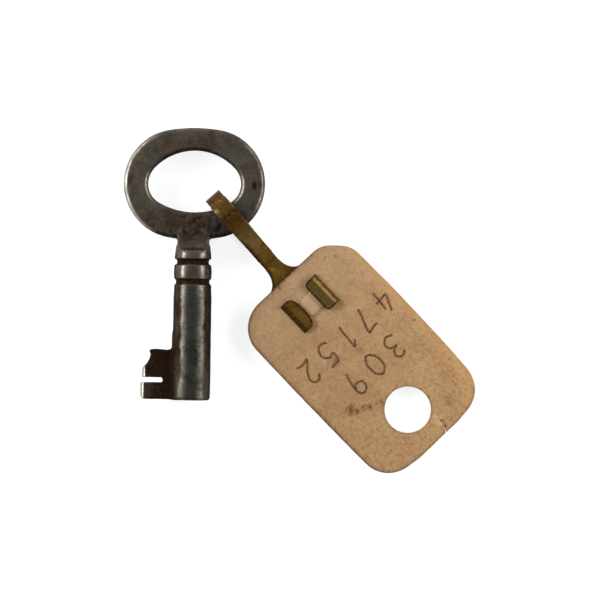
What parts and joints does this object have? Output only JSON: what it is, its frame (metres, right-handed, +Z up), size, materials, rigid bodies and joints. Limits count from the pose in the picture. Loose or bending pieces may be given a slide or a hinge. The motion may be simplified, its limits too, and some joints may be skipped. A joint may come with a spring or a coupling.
{
  "type": "furniture key with tag",
  "caption": "Barrel key for a furniture lock with an oval bow, and a card tag held on the bow by a bent brass clip that swings on the rim.",
  "frame": {"origin": "centre of the barrel's mouth, on the barrel's axis", "axes": "+Y along the barrel from its mouth to the bow, +Z up from the table the key lies on, square to the flat of the bow and the bit; the bit points to -X"},
  "size_m": [0.0609, 0.0589, 0.0066],
  "materials": {
    "iron": "dark worn iron with brown patches of rust",
    "brass": "tarnished brass with bright worn edges",
    "card": "aged buff card, matt"
  },
  "bodies": {
    "key": {"key": "iron"},
    "tag_assembly": {"tag_clip": "brass", "tag": "card"}
  },
  "joints": [
    {"name": "tag_swing", "type": "hinge", "parent": "key", "child": "tag_assembly", "pos_m": [0.00636, 0.03168, -0.0002], "axis": [-0.7455, -0.6665, 0], "range_deg": [-45, 45]}
  ]
}
